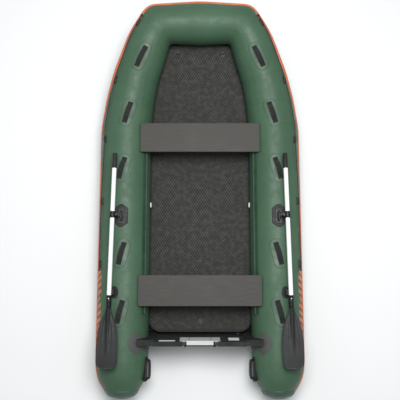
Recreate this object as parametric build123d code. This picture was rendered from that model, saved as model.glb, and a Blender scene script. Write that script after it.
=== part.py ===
# Inflatable dinghy with a drop-stitch air deck, plywood transom, two sliding seats and two stowed oars.
# Millimetres. X to starboard, Y to the bow, Z up. Origin on the ground at the middle of the hull's box.
from build123d import *
from collections import namedtuple
from math import atan2, cos, degrees, pi, radians, sin, sqrt, tan
import os

os.makedirs("parts", exist_ok=True)

# ---- hull: driving dimensions ----
overall_length = 3030
overall_beam = 1555
tube_radius = 193            # side tubes
bow_radius = 165             # cross tube at the bow
bow_rise = 185               # bow tube's centre above the side tubes'
corner_half_width = 326      # middle of the bow to the corner of the tube's centreline
corner_fullness = 1.06       # the corner section is this much wider than its height
fabric = 1.2                 # coated fabric of the tubes, keel and bottom
glue = 0.3                   # between a curved tube and what is bonded to it
strake_proud = 6
strake_height = 64
cap_length = 65              # moulded stern cap
cap_radius = 125
cap_wall = 3
tail_ring = (140, 175)       # distance from the stern tip, tube radius
tail_seam = 250              # where the tapering tail begins, from the stern tip
panel_seam_y = -700
bulkhead_depth = 90
bulkhead_tip = 40
bulkhead_fit = 1.8           # the tube narrows and bends past the seam
# sheer stations: inset from the straight side, distance aft of the bow tube's centre, rise, radius
sheer = [(0, 820, 0, 193), (29, 585, 16, 185), (72, 405, 62, 177), (172, 140, 137, 168)]

# ---- floor ----
deck_top = 140
deck_thickness = 55
deck_rear_y = -1032
deck_rear_corner = 95
deck_front_rise = 125
deck_front_gap = 100         # deck's front edge is this far aft of the bow tube's centre
deck_valve_y = -954
deck_tab_y = -498
deck_ring_y = 1150
deck_ring_x = 178
keel_front_rise = 200

# ---- transom ----
transom_thickness = 28
transom_top = 405
transom_y = -1110            # middle of the top edge
transom_lean = 10            # degrees aft
transom_half_width = 352
transom_foot = 12
notch_depth = 32
notch_half_width = 102
notch_slope = 22
holder_wall = 8

# ---- seats ----
seat_length = 910
seat_width = 226
seat_thickness = 18
seat_corner = 10
seat_bottom = 344.2
seat_ys = {"fore": 430, "aft": -729}
track_angle = 145.4          # round the tube from outboard, over the top
track_ends = (-900, 510)
track_bead = 6
track_web = 4
track_stand = 15

# ---- fittings on the tubes: (y, angle round the tube, turn about the surface normal) ----
handles = [(1088, 96, 7.5), (640, 94.4, 11), (191, 87.3, 15.6), (-456, 89.8, 14.6), (-882, 89.1, 13.3)]
handle_length = 168
handle_width = 38
handle_patch = (226, 104)
strap_thickness = 3
strap_lift = 26
patch_thickness = 2
patch_glue = 1.0             # the patches bed into more adhesive where the tube tapers
rope_holders = [(1262, 46), (881, 44.5), (421, 40), (-56, 33), (-531, 31.5)]
holder_size = (62, 30, 15)
rope_diameter = 8
stern_handle_y = -1296
stern_handle_length = 165
stern_handle_angle = 162
stern_handle_lift = 26
valve_y = -62
valve_angle = 177
bow_valve = (1075, 197)
valve_throat = 19.5
oar_rest_y = -742

# ---- oars and oarlocks ----
pad_y = -174
pad_angle = 87.5
oar_height = 452
axle_x = 584
axle_z = 417
pin_x = 612
oar_x = 642
oar_pin_y = -180
oar_yaw = 1.1                # stowed oar's toe-out, degrees
shaft_radius = 16
shaft_wall = 1.5
grip_front = 464             # along the oar from the pin
grip_length = 116
blade_start = 586
blade_end = 1105
blade_half_width = 77
axle_radius = 5
pin_radius = 5
running = 0.05

side_x = overall_beam / 2 - strake_proud - tube_radius
bow_y = overall_length / 2 - strake_proud - bow_radius
stern_y = -overall_length / 2

# ================= tubes =================
Station = namedtuple("Station", "center out up ahead radius width")


def make_stations():
    """Starboard sections from the tail to the middle of the bow: place, axes and radii."""
    rows = [
        (side_x, stern_y + cap_length, tube_radius, cap_radius, 1),
        (side_x, stern_y + tail_ring[0], tube_radius, tail_ring[1], 1),
        (side_x, stern_y + tail_seam, tube_radius, tube_radius, 1),
        (side_x, panel_seam_y, tube_radius, tube_radius, 1),
    ]
    for inset, aft, rise, radius in sheer:
        rows.append((side_x - inset, bow_y - aft, tube_radius + rise, radius, 1))
    rows.append((corner_half_width, bow_y, tube_radius + bow_rise - 13, bow_radius, corner_fullness))
    rows.append((0, bow_y, tube_radius + bow_rise, bow_radius, 1))
    centers = [Vector(x, y, z) for x, y, z, _, _ in rows]
    found = []
    for i, (_, _, _, radius, width) in enumerate(rows):
        before = (centers[i] - centers[i - 1]).normalized() if i else Vector(0, 1, 0)
        after = (centers[i + 1] - centers[i]).normalized() if i + 1 < len(rows) else before
        ahead = (before + after).normalized()
        if i + 1 == len(rows):
            ahead = Vector(-1, 0, 0)
        out = ahead.cross(Vector(0, 0, 1)).normalized()
        found.append(Station(centers[i], out, out.cross(ahead), ahead, radius, width))
    return found


stations = make_stations()
tail, straight_end, mid_seam, sheer_start = 0, 2, 3, 4
bow_seam = 6                 # the bow chamber begins at this station
corner, bow_middle = 8, 9


def section(station, grow):
    """The tube's cross-section face at a station, grown by so much."""
    plane = Plane(origin=station.center, x_dir=station.out, z_dir=-station.ahead)
    radius = station.radius + grow
    if station.width == 1:
        return plane * Circle(radius)
    return plane * Ellipse(radius * station.width, radius)


def panel(i, grow=0.0):
    """Solid body of the tube between stations i and i + 1."""
    return loft([section(stations[i], grow), section(stations[i + 1], grow)], ruled=True)


def skin_panel(i):
    return panel(i) - panel(i, -fabric)


def port(part):
    return mirror(part, about=Plane.YZ)


def both(parts):
    """The starboard parts and their mirror images, as separate solids."""
    parts = list(parts)
    return parts + [port(p) for p in parts]


def group(parts):
    solids = [s for p in parts for s in p.solids()]
    return Compound(children=solids)


def write(name, parts):
    shape = group(parts) if isinstance(parts, (list, tuple)) else parts
    export_step(shape, f"parts/{name}.step")


def rim_point(i, share, angle):
    """Point on the tube, tangent round it, and direction along it."""
    a = radians(angle)
    ends, turns = [], []
    for s in stations[i:i + 2]:
        r_out = s.radius * s.width
        ends.append(s.center + s.out * (r_out * cos(a)) + s.up * (s.radius * sin(a)))
        turns.append(s.up * (s.radius * cos(a)) - s.out * (r_out * sin(a)))
    point = ends[0] + (ends[1] - ends[0]) * share
    around = (turns[0] + (turns[1] - turns[0]) * share).normalized()
    return point, around, (ends[1] - ends[0]).normalized()


def on_tube(y, angle, turn=0.0):
    """Plane on the starboard tube: X towards the bow, Y over the top to the inside, Z outward."""
    i = max(k for k in range(len(stations) - 1) if stations[k].center.Y <= y or k == 0)
    i = min(i, corner - 1)
    a, b = stations[i].center, stations[i + 1].center
    share = (y - a.Y) / (b.Y - a.Y)
    point, around, along = rim_point(i, share, angle)
    normal = along.cross(around).normalized()
    radius = stations[i].radius + (stations[i + 1].radius - stations[i].radius) * share
    side = normal.cross(along)
    heading = along * cos(radians(turn)) + side * sin(radians(turn))
    return Plane(origin=point, x_dir=heading, z_dir=normal), radius, turn


def bent_plate(place, outline, thickness, grow=glue):
    """A plate of the given outline that follows the tube, `grow` off its surface."""
    plane, radius, turn = place
    reach = 400              # longer than any plate on the tubes
    ring = Circle(radius + grow + thickness) - Circle(radius + grow)
    along = Rot(0, 0, -turn) * Pos(-reach / 2, 0, -radius) * extrude(Plane.YZ * ring, reach)
    prism = Pos(0, 0, -radius * 0.35) * extrude(outline, radius)
    return plane * (along & prism)


def cut_by_tube(part, first=straight_end - 1, last=bow_middle, grow=glue):
    for i in range(first, last):
        body = panel(i, grow)
        part = part - body - port(body)
    return part


def end_cap():
    """Moulded dome that closes the tail of a side tube."""
    def dome(radius, depth):
        rise = (depth * sin(radians(a)) for a in (0, 22.5, 45, 67.5, 90))
        spread = (radius * cos(radians(a)) for a in (0, 22.5, 45, 67.5, 90))
        points = [(r, -h) for r, h in zip(spread, rise)]
        points[-1] = (0, -depth)
        curve = Spline(points, tangents=[(0, -1), (-1, 0)])
        face = make_face([*curve.edges(), *Polyline((0, -depth), (0, 0), (radius, 0)).edges()])
        return revolve(face, Axis.Y)
    shell = dome(cap_radius, cap_length) - dome(cap_radius - cap_wall, cap_length - cap_wall)
    return Pos(side_x, stern_y + cap_length, tube_radius) * shell


def bulkhead():
    """Cone-shaped diaphragm between the side and bow chambers."""
    s = stations[bow_seam]
    plane = Plane(origin=s.center, x_dir=s.out, z_dir=s.ahead)
    radius = s.radius - fabric - bulkhead_fit
    outer = Cone(radius, bulkhead_tip, bulkhead_depth)
    inner = Pos(0, 0, -fabric) * Cone(radius, bulkhead_tip, bulkhead_depth)
    return plane * Pos(0, 0, bulkhead_depth * 2 / 3) * (outer - inner)


def strake():
    """Rubbing strake, one length per panel, round the outermost line of the tubes."""
    def face(s):
        plane = Plane(origin=s.center, x_dir=s.out, z_dir=-s.ahead)
        middle = s.radius * s.width + glue + (strake_proud - glue) / 2
        return plane * Pos(middle, 0) * Rectangle(strake_proud - glue, strake_height)
    return [loft([face(a), face(b)], ruled=True) for a, b in zip(stations, stations[1:])]


write("bulkheads", both([bulkhead()]))
write("stern_caps", both([end_cap()]))
write("rub_strake", both(strake()))

# ================= floor =================
rise_start = stations[sheer_start].center.Y
deck_front_y = bow_y - deck_front_gap
floor_ys = [stations[i].center.Y for i in range(sheer_start, corner)]


def deck_line(y):
    """Height of the deck's top at a distance forward."""
    share = max(0, y - rise_start) / (deck_front_y - rise_start)
    return deck_top + deck_front_rise * share ** 2


def keel_line(y):
    """Height of the keel's underside."""
    share = max(0, y - rise_start) / (bow_y - rise_start)
    return keel_front_rise * share ** 2


def air_deck():
    ys = [deck_rear_y, *floor_ys, deck_front_y + 60]
    top = [(y, deck_line(y)) for y in ys]
    side = make_face(Polyline(*top, *[(y, z - deck_thickness) for y, z in reversed(top)], close=True))
    body = extrude(Plane.YZ * side, side_x, both=True)
    length = deck_front_y - deck_rear_y + 400
    plan = Pos(0, deck_rear_y + length / 2) * RectangleRounded(2 * side_x, length, deck_rear_corner)
    half_width = side_x - sqrt(tube_radius ** 2 - (tube_radius - deck_top + deck_thickness / 2) ** 2)
    corner_plan = RectangleRounded(2 * half_width, length, deck_rear_corner)
    corner_plan = Pos(0, deck_rear_y + length / 2) * corner_plan
    body = cut_by_tube(body & extrude(plan, 600), straight_end - 1, bow_middle)
    rear = Pos(0, deck_rear_y, 0) * Box(4 * side_x, 2 * deck_rear_corner, 800)
    body = (body - rear) + (body & rear & extrude(corner_plan, 600))    # round the rear corners
    return max(body.solids(), key=lambda s: s.volume)


def bottom_skin():
    """Fabric bottom between the tubes' undersides and the keel line, one length per station."""
    contact = -100
    sections = []
    low = tube_radius + glue + fabric
    x = side_x + low * cos(radians(contact))
    z = tube_radius + low * sin(radians(contact))
    places = [(x, transom_y + 50, z)]
    for s in stations[sheer_start:bow_middle]:
        r = s.radius + glue + fabric
        p = s.center + s.out * (r * s.width * cos(radians(contact))) + s.up * (r * sin(radians(contact)))
        places.append((p.X, p.Y, p.Z))
    for x, y, z in places:
        line = [(-x, z), (0, keel_line(y)), (x, z)]
        ring = line + [(px, pz + fabric) for px, pz in reversed(line)]
        sections.append(Pos(0, y, 0) * (Plane.XZ * make_face(Polyline(*ring, close=True))))
    return [loft([a, b], ruled=True) for a, b in zip(sections, sections[1:])], [p[1] for p in places]


skin_parts, skin_ys = bottom_skin()


def keel_tube():
    """Inflated keel squeezed between the bottom and the deck."""
    def ring(y, shrink):
        low = keel_line(y) + fabric + glue
        high = deck_line(y) - deck_thickness - glue - (2 if y > rise_start else 0)
        radius = (high - low) / 2
        return Pos(0, y, (high + low) / 2) * (Plane.XZ * Circle(radius - shrink))
    ys = [deck_rear_y + 12, *skin_ys[1:5]]
    found = []
    for a, b in zip(ys, ys[1:]):
        outside, inside = (loft([ring(a, t), ring(b, t)], ruled=True) for t in (0, fabric))
        found.append(outside - inside)
    return found


def disc_fitting(radius, height, bore=0.0):
    body = Cylinder(radius, height, align=(Align.CENTER, Align.CENTER, Align.MIN))
    body = chamfer(body.edges().group_by(Axis.Z)[-1], height * 0.3)
    if bore:
        body -= Cylinder(bore, 4 * height)
    return body


def valve_body():
    """Recessed one-way valve: flange, throat and spring poppet seat."""
    flange = disc_fitting(27, 3) - Cylinder(17.5, 20)
    throat = Pos(0, 0, -14) * (Cylinder(valve_throat, 28) - Cylinder(17.5, 40))
    floor = Pos(0, 0, -26) * (Cylinder(18, 3) - Cylinder(4, 10))
    return flange + throat + floor


def valve_cap():
    """Bayonet cap: knurled disc, plug that drops into the throat, and a finger bar."""
    disc = Pos(0, 0, 3.2) * disc_fitting(22, 4)
    plug = Pos(0, 0, -3) * Cylinder(17.2, 12.4)
    bar = Pos(0, 0, 8.2) * Box(30, 5, 4)
    return disc + plug + bar


def pocket(plane):
    """Hole for a valve's throat."""
    return plane * Pos(0, 0, -30) * Cylinder(valve_throat + 0.2, 80)


deck_valve_plane = Plane(origin=(0, deck_valve_y, deck_top))
write("air_deck", air_deck() - pocket(deck_valve_plane))
write("bottom_skin", skin_parts)
write("keel_tube", keel_tube())
write("deck_valve", deck_valve_plane * Pos(0, 0, 0.1) * valve_body())
write("deck_valve_cap", deck_valve_plane * Pos(0, 0, 0.2) * valve_cap())


def deck_ring():
    """Bonded patch with a D-shaped lashing loop standing on it."""
    patch = disc_fitting(26, 2.5)
    loop = Pos(0, 0, 2) * Rot(90, 0, 0) * (Cylinder(15, 5) - Cylinder(10, 8))
    return patch + (loop & Pos(0, 0, 12) * Box(40, 20, 20))


def deck_spot(x, y):
    """Place on the deck's faceted top, tilted with it."""
    back, front = next((b, f) for b, f in zip(floor_ys, floor_ys[1:]) if b <= y <= f)
    low, high = deck_line(back), deck_line(front)
    height = low + (high - low) * (y - back) / (front - back)
    return Pos(x, y, height + 0.2) * Rot(degrees(atan2(high - low, front - back)), 0, 0)


write("deck_rings", both([deck_spot(deck_ring_x, deck_ring_y) * deck_ring()]))
tab = Pos(0, 0, 1.2) * Box(34, 60, 2.4) + Pos(0, 22, 4.5) * Box(34, 12, 5)
write("deck_tab", Pos(0, deck_tab_y, deck_top + 0.1) * tab)

# ================= transom =================
lean = radians(transom_lean)
transom_plane = Plane(origin=(0, transom_y, transom_top), x_dir=(1, 0, 0), z_dir=(0, -cos(lean), -sin(lean)))
transom_drop = (transom_top - transom_foot) / cos(lean)
half_board = transom_thickness / 2
bolt_places = [(x, -v) for x in (-80, 80) for v in (64, 122)]
bolt_radius = 4
bolt_head = 8
nut_radius = 7.5
plate_thickness = 3
pad_thickness = 8
pad_floor = 1.5               # under each nut
drain_place = (285, -239)
drain_radius = 14
drain_bore = 11


def slab(outline, low, high):
    """Outline in the transom's plane, between two depths (aft is positive)."""
    return Pos(0, 0, low) * extrude(outline, high - low)


def notch(grow):
    """The motor notch's outline, shrunk or grown, open at the top."""
    bottom, top = notch_half_width + grow, notch_half_width + notch_slope + grow
    return make_face(Polyline((-bottom, -notch_depth - grow), (bottom, -notch_depth - grow),
                              (top, 40), (-top, 40), close=True))


def transom_board():
    w, d, c = transom_half_width, transom_drop, 45
    outline = Polyline((-w, 0), (w, 0), (w, c - d), (w - c, -d), (c - w, -d), (-w, c - d), close=True)
    face = make_face(outline) - notch(0)
    face -= [Pos(x, v) * Circle(bolt_radius + 0.1) for x, v in bolt_places]
    face -= Pos(*drain_place) * Circle(drain_radius + 0.2)
    return slab(face, -half_board, half_board)


board = transom_board()
write("transom_board", transom_plane * board)


def holder():
    """Rubber channel that ties the end of the transom to the side tube."""
    depth = half_board + holder_wall
    face = Pos(transom_half_width + 40, -transom_drop / 2 - 8) * Rectangle(130, transom_drop - 44)
    groove = Pos(0, -transom_drop / 2) * Rectangle(2 * transom_half_width, transom_drop + 20)
    channel = slab(face, -depth, depth) - slab(groove, -half_board, half_board)
    return cut_by_tube(transom_plane * channel, straight_end, sheer_start, glue + 3.1)


write("transom_holders", both([holder()]))


def transom_patch():
    """Diamond flap over the tube and the strip under it, both bonded to the tube."""
    place = on_tube(transom_y, 122.5)
    diamond = make_face(Polyline((-88, 14), (-88, -14), (-30, -80), (30, -80), (88, -14),
                                 (88, 14), (40, 74), (-40, 74), close=True))
    strip_place = on_tube(transom_y, 178)
    strip = Rectangle(96, 2 * (tube_radius + 3) * sin(radians(27)))
    return [bent_plate(place, diamond, 3), bent_plate(strip_place, strip, 3)]


write("transom_patches", both(transom_patch()))


def edge_trim():
    """Rubber edging over the top of the board, either side of the notch."""
    inner = notch_half_width + notch_slope + 5
    middle = (inner + transom_half_width - 14) / 2
    face = Pos(middle, -4) * Rectangle(transom_half_width - 14 - inner, 15)
    return slab(face, -half_board - 3, half_board + 3) - board


write("transom_edging", [transom_plane * edge_trim(), port(transom_plane * edge_trim())])


def bolt_holes():
    return [Pos(x, v) * Circle(bolt_radius + 0.1) for x, v in bolt_places]


def sunk_heads():
    """Conical bolt heads, flush with the plate so that a clamp seats flat."""
    head = Cone(bolt_head, bolt_radius, plate_thickness, align=(Align.CENTER, Align.CENTER, Align.MIN))
    return [Pos(x, v, -half_board - plate_thickness) * head for x, v in bolt_places]


def nuts(radius):
    """Nuts let into the pad, flush with its outer face."""
    nut = extrude(RegularPolygon(radius, 6), pad_thickness - pad_floor)
    return [Pos(x, v, half_board + pad_floor) * nut for x, v in bolt_places]


def motor_plate():
    """Bright plate that takes the clamp screws, folded over the notch's floor."""
    face = Pos(0, -82) * Rectangle(292, 136) - notch(-3) - bolt_holes()
    lip = Pos(0, -notch_depth + 1.5) * Rectangle(2 * notch_half_width - 10, 3)
    plate = slab(face, -half_board - plate_thickness, -half_board) - sunk_heads()
    return plate + slab(lip, -half_board - plate_thickness, half_board)


def motor_pad():
    """Black moulded pad on the outside of the board."""
    face = Pos(0, -80) * Rectangle(226, 150) - notch(-5) - bolt_holes()
    return slab(face, half_board, half_board + pad_thickness) - nuts(nut_radius + 0.1)


def motor_bolts():
    """Bolts through plate, board and pad."""
    shank = slab(Circle(bolt_radius), -half_board - plate_thickness, half_board + pad_thickness)
    shanks = [Pos(x, v, 0) * shank for x, v in bolt_places]
    return [head + shank + nut for head, shank, nut in zip(sunk_heads(), shanks, nuts(nut_radius))]


write("motor_plate", transom_plane * motor_plate())
write("motor_pad", transom_plane * motor_pad())
write("motor_bolts", [transom_plane * bolt for bolt in motor_bolts()])
labels = [Pos(-239, -38) * RectangleRounded(118, 46, 5), Pos(246, -104) * RectangleRounded(78, 84, 5)]
write("label_plates", [transom_plane * slab(face, -half_board - 1, -half_board) for face in labels])


def drain_valve():
    tube = Circle(drain_radius) - Circle(drain_bore)
    flange = Circle(25) - Circle(drain_bore)
    body = slab(flange, -half_board - 4, -half_board) + slab(tube, -half_board, half_board + 6)
    return Pos(*drain_place) * body


def drain_plug():
    head = slab(Circle(16), -half_board - 11, -half_board - 4.1)
    grip = slab(Rectangle(26, 5), -half_board - 19, -half_board - 11)
    return Pos(*drain_place) * (head + grip + slab(Circle(drain_bore - running), -half_board - 4.2, -2))


write("drain_valve", transom_plane * drain_valve())
write("drain_plug", transom_plane * drain_plug())

# ================= seats and their tracks =================
track_reach = tube_radius + track_stand
track_dir = (cos(radians(track_angle)), sin(radians(track_angle)))
bead_x = side_x + track_reach * track_dir[0]
bead_z = tube_radius + track_reach * track_dir[1]


def seat_track():
    """Bonded strip with a round bead standing on a web."""
    base_low = tube_radius + glue
    ring = Circle(base_low + 2.5) - Circle(base_low)
    strip = ring & Pos(base_low, 0) * Rectangle(60, 44)
    web = Pos((base_low + 1 + track_reach) / 2, 0) * Rectangle(track_reach - base_low - 1, track_web)
    bead = Pos(track_reach, 0) * Circle(track_bead)
    face = Pos(side_x, tube_radius) * Rot(0, 0, track_angle) * (strip + web + bead)
    low, high = track_ends
    return Pos(0, high, 0) * extrude(Plane.XZ * face, high - low)


def seat_hanger(y):
    """C-shaped runner round the bead, hung from a flange under the seat."""
    length = 150
    ring = Circle(track_bead + 5) - Circle(track_bead + 0.35)
    slot = Rot(0, 0, track_angle) * Pos(-20, 0) * Rectangle(40, track_web + 1.6)
    web_top = seat_bottom - bead_z
    web = Pos(0, (track_bead + 2 + web_top) / 2) * Rectangle(5, web_top - track_bead - 2)
    flange = Pos(0, web_top - 1.5) * Rectangle(40, 3)
    face = Pos(bead_x, bead_z) * ((ring - slot) + web + flange)
    return Pos(0, y + length / 2, 0) * extrude(Plane.XZ * face, length)


def seat_board(y):
    body = Pos(0, y, seat_bottom) * extrude(RectangleRounded(seat_length, seat_width, seat_corner), seat_thickness)
    return fillet(body.edges().group_by(Axis.Z)[-1], seat_thickness / 6)


write("seat_tracks", both([seat_track()]))
for name, y in seat_ys.items():
    write(f"seat_{name}", seat_board(y))
    write(f"seat_{name}_hangers", both([seat_hanger(y)]))

# ================= handles, lifeline and valves =================


def strap_handle(y, angle, turn):
    """Webbing strap arched over its patch."""
    plane, _, _ = on_tube(y, angle, turn)
    half = handle_length / 2
    under = [(-half, 0), (22 - half, 0), (36 - half, strap_lift * 0.62), (54 - half, strap_lift * 0.93)]
    under.append((0, strap_lift))
    under += [(-x, z) for x, z in reversed(under[:-1])]
    over = [(x, z + strap_thickness) for x, z in reversed(under)]
    face = make_face(Polyline(*under, *over, close=True))
    foot = patch_glue + patch_thickness + 0.1
    return plane * Pos(0, handle_width / 2, foot) * extrude(Plane.XZ * face, handle_width)


def handle_base(y, angle, turn):
    outline = RectangleRounded(*handle_patch, 50)
    return bent_plate(on_tube(y, angle, turn), outline, patch_thickness, patch_glue)


write("handle_patches", both(handle_base(*h) for h in handles))
write("handle_straps", both(strap_handle(*h) for h in handles))
rope_height = 9


def rope_holder(y, angle):
    """Moulded patch with a tunnel for the lifeline."""
    plane, _, _ = on_tube(y, angle)
    length, width, height = holder_size
    base = bent_plate(on_tube(y, angle), RectangleRounded(length, width, 14), 3)
    hump = plane * Pos(0, 0, 8.5) * Box(length - 22, width - 8, height - 3)
    bore = plane * Pos(0, 0, rope_height) * Rot(0, 90, 0) * Cylinder(rope_diameter / 2 + 1.6, 2 * length)
    return base + hump - bore


rope_points = [
    (454, 1363, 475), (506, 1277, 462), (559, 1169, 434), (593, 1077, 411), (624, 997, 392),
    (648, 925, 377), (668, 851, 361), (696, 751, 336), (713, 656, 328), (729, 557, 322),
    (733, 460, 323), (733, 393, 323), (736, 294, 318), (741, 192, 310), (746, 89, 304),
    (748, -10, 303), (748, -95, 303), (750, -202, 297), (752, -316, 293), (752, -418, 294),
    (751, -496, 298), (751, -562, 299)]


def rope_line(points):
    """The lifeline's middle: runs joined by tangent arcs, each as large as its runs allow."""
    at = [Vector(*p) for p in points]
    radii = []
    for a, b, c in zip(at, at[1:], at[2:]):
        turn = radians((b - a).get_angle(c - b))
        radii.append(0.45 * min((b - a).length, (c - b).length) / tan(turn / 2))
    print("lifeline radii", [round(r) for r in radii])
    return FilletPolyline(*at, radius=radii)


def lifeline():
    line = rope_line(rope_points)
    rope = sweep(Plane(origin=line @ 0, z_dir=line % 0) * Circle(rope_diameter / 2), path=line)
    section_area = pi * (rope_diameter / 2) ** 2
    print("lifeline length", round(line.length), "volume share", rope.volume / (line.length * section_area))
    return rope


def rope_knot(end, before):
    """Stopper knot outside the last holder."""
    away = (Vector(*end) - Vector(*before)).normalized()
    body = Cylinder(8, 20, align=(Align.CENTER, Align.CENTER, Align.MIN))
    rims = body.edges().group_by(Axis.Z)
    body = fillet(rims[-1] + rims[0], 4)
    return Plane(origin=Vector(*end), z_dir=away) * body


rope = lifeline()
write("rope_holders", both(rope_holder(*h) for h in rope_holders))
write("lifeline_starboard", rope)
write("lifeline_port", port(rope))
rope_ends = [(rope_points[0], rope_points[1]), (rope_points[-1], rope_points[-2])]
write("rope_knots", both(rope_knot(end, before) for end, before in rope_ends))


def stern_handle():
    """Moulded grab handle high on the inner face of the tail."""
    seam_y = stations[straight_end].center.Y
    plane, _, _ = on_tube(seam_y + 1, stern_handle_angle)
    bar = fillet(Box(stern_handle_length, 26, 12).edges().filter_by(Axis.Z), 9)
    body = Pos(0, 0, stern_handle_lift) * bar
    for shift in (-1, 1):
        foot = Box(26, 26, stern_handle_lift + 40)
        body += Pos(shift * (stern_handle_length / 2 - 16), 0, stern_handle_lift / 2 - 20) * foot
    body = plane * Pos(stern_handle_y - seam_y - 1, 0, 0) * body
    return max(cut_by_tube(body, tail, sheer_start).solids(), key=lambda s: -s.center().X)


write("stern_handles", both([stern_handle()]))

valve_plane, _, _ = on_tube(valve_y, valve_angle)
bow_valve_plane, _, _ = on_tube(*bow_valve)
valve_bodies = [valve_plane * Pos(0, 0, glue) * valve_body(), port(valve_plane * Pos(0, 0, glue) * valve_body())]
valve_bodies.append(bow_valve_plane * Pos(0, 0, glue) * valve_body())
write("tube_valves", valve_bodies)
write("valve_cap_starboard", valve_plane * Pos(0, 0, glue + 0.1) * valve_cap())
write("valve_cap_port", port(valve_plane * Pos(0, 0, glue + 0.1) * valve_cap()))
write("valve_cap_bow", bow_valve_plane * Pos(0, 0, glue + 0.1) * valve_cap())
side_pocket = pocket(valve_plane)
bow_pocket = pocket(bow_valve_plane)
write("tube_bow", [s - bow_pocket for s in both(skin_panel(i) for i in range(bow_seam, bow_middle))])
starboard = [skin_panel(i) - side_pocket for i in range(tail, bow_seam)]
write("tube_starboard", starboard)
write("tube_port", [port(s) for s in starboard])

# ================= bow towing ring =================
ring_tilt = 35
ring_rod = 4
ring_size = (50, 56)
tow_normal = Vector(0, cos(radians(ring_tilt)), -sin(radians(ring_tilt)))
tow_point = stations[bow_middle].center + tow_normal * bow_radius
tow_plane = Plane(origin=tow_point, x_dir=(1, 0, 0), z_dir=tow_normal)
tow_bar = tow_point + tow_normal * 17


def tow_patch():
    """Patch and lug that carry the ring's straight bar."""
    patch = bent_plate((tow_plane, bow_radius, 0), RectangleRounded(90, 90, 30), 4, glue + 1.0)
    lug = tow_plane * Pos(0, 0, 13) * Box(22, 20, 20)
    bore = Pos(tow_bar) * Rot(0, 90, 0) * Cylinder(ring_rod + running, 60)
    return patch + lug - bore


def tow_ring():
    wide, tall = ring_size
    outline = Pos(tow_bar) * (Plane.XZ * Pos(0, -tall / 2) * RectangleRounded(wide, tall, 12))
    path = outline.face().outer_wire()
    profile = Plane(origin=path @ 0, z_dir=path % 0) * Circle(ring_rod)
    return sweep(profile, path=path)


write("tow_patch", tow_patch())
write("tow_ring", tow_ring())

# ================= oarlocks and oars =================
pad_place = on_tube(pad_y, pad_angle)
pad_thickness = 4
base_low = tube_radius * 2 + glue + pad_thickness + 0.2
base_thickness = 5.5
lug_gap = 44
lug_width = 10
block_length = 42
boss_top = 434
eye_height = 37
clamp_length = 28


def upright(radius, low, high, x=0.0, y=0.0):
    return Pos(x, y, low) * Cylinder(radius, high - low, align=(Align.CENTER, Align.CENTER, Align.MIN))


def along_y(radius, length, x, z, y=0.0):
    return Pos(x, y, z) * Rot(90, 0, 0) * Cylinder(radius, length)


def oarlock_pad():
    half, wide, cut = 86, 52, 30
    outline = Polyline((-half, 12), (-half, -12), (-half + cut, -wide), (half - cut, -wide),
                       (half, -12), (half, 12), (half - cut, wide), (cut - half, wide), close=True)
    return bent_plate(pad_place, make_face(outline), pad_thickness)


def oarlock_bracket():
    """Base plate with a lug at each end of the axle."""
    body = Pos(axle_x, oar_pin_y, base_low + base_thickness / 2) * Box(40, 108, base_thickness)
    for shift in (-1, 1):
        y = oar_pin_y + shift * (lug_gap / 2 + lug_width / 2)
        post = Pos(axle_x, y, (base_low + axle_z) / 2) * Box(20, lug_width, axle_z - base_low)
        body += post + along_y(10, lug_width, axle_x, axle_z, y)
    return body - along_y(axle_radius + running, 200, axle_x, axle_z, oar_pin_y)


def axle():
    length = lug_gap + 2 * lug_width + 1
    body = along_y(axle_radius, length + 8, axle_x, axle_z, oar_pin_y)
    for shift in (-1, 1):
        body += along_y(8, 4, axle_x, axle_z, oar_pin_y + shift * (length / 2 + 2))
    return body


def swivel_block():
    """Barrel on the axle, arm outboard and the upright pin."""
    barrel = along_y(11, block_length, axle_x, axle_z, oar_pin_y)
    arm = Pos((axle_x + pin_x + 9) / 2, oar_pin_y, axle_z) * Box(pin_x + 9 - axle_x, 20, 13)
    boss = upright(9, axle_z - 6.5, boss_top, pin_x, oar_pin_y)
    pin = upright(pin_radius, boss_top - 1, boss_top + eye_height + 4, pin_x, oar_pin_y)
    head = upright(8, boss_top + eye_height + 0.6, boss_top + eye_height + 4.6, pin_x, oar_pin_y)
    return barrel + arm + boss + pin + head - along_y(axle_radius + running, 80, axle_x, axle_z, oar_pin_y)


def stowed(part):
    """From the oar's own frame (pin at the origin, blade towards -Y) to its stowed place."""
    return Pos(pin_x, oar_pin_y, 0) * Rot(0, 0, oar_yaw) * part


oar_offset = oar_x - pin_x


def oar_clamp():
    """Eye on the upright pin and the ring round the shaft."""
    low = boss_top + 0.3
    eye = upright(11, low, low + eye_height)
    web = Pos(oar_offset / 2, 0, oar_height) * Box(oar_offset, 16, 24)
    ring = along_y(22, clamp_length, oar_offset, oar_height)
    bores = upright(pin_radius + running, low - 5, low + 60)
    return stowed(eye + web + ring - bores - along_y(shaft_radius + running, 90, oar_offset, oar_height))


def oar_tube(outer, inner, front, back):
    """Round sleeve along the oar between two places, measured forward of the pin."""
    middle = (front + back) / 2
    return along_y(outer, front - back, oar_offset, oar_height, middle) - along_y(
        inner, 4 * abs(front - back), oar_offset, oar_height, middle)


def oar_shaft():
    tube = oar_tube(shaft_radius, shaft_radius - shaft_wall, grip_front - 6, -blade_start - 70)
    return stowed(tube - upright(4.3, oar_height, oar_height + 40, oar_offset, -blade_start - 24))


def oar_grip():
    sleeve = along_y(18.5, grip_length, oar_offset, oar_height, grip_front - grip_length / 2)
    bore = along_y(shaft_radius, grip_length, oar_offset, oar_height, grip_front - 6 - grip_length / 2)
    sleeve = fillet(sleeve.edges().group_by(Axis.Y)[-1], 6)
    for i in range(5):
        sleeve -= oar_tube(30, 17.6, grip_front - 22 - 18 * i, grip_front - 26 - 18 * i)
    return stowed(sleeve - bore)


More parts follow.
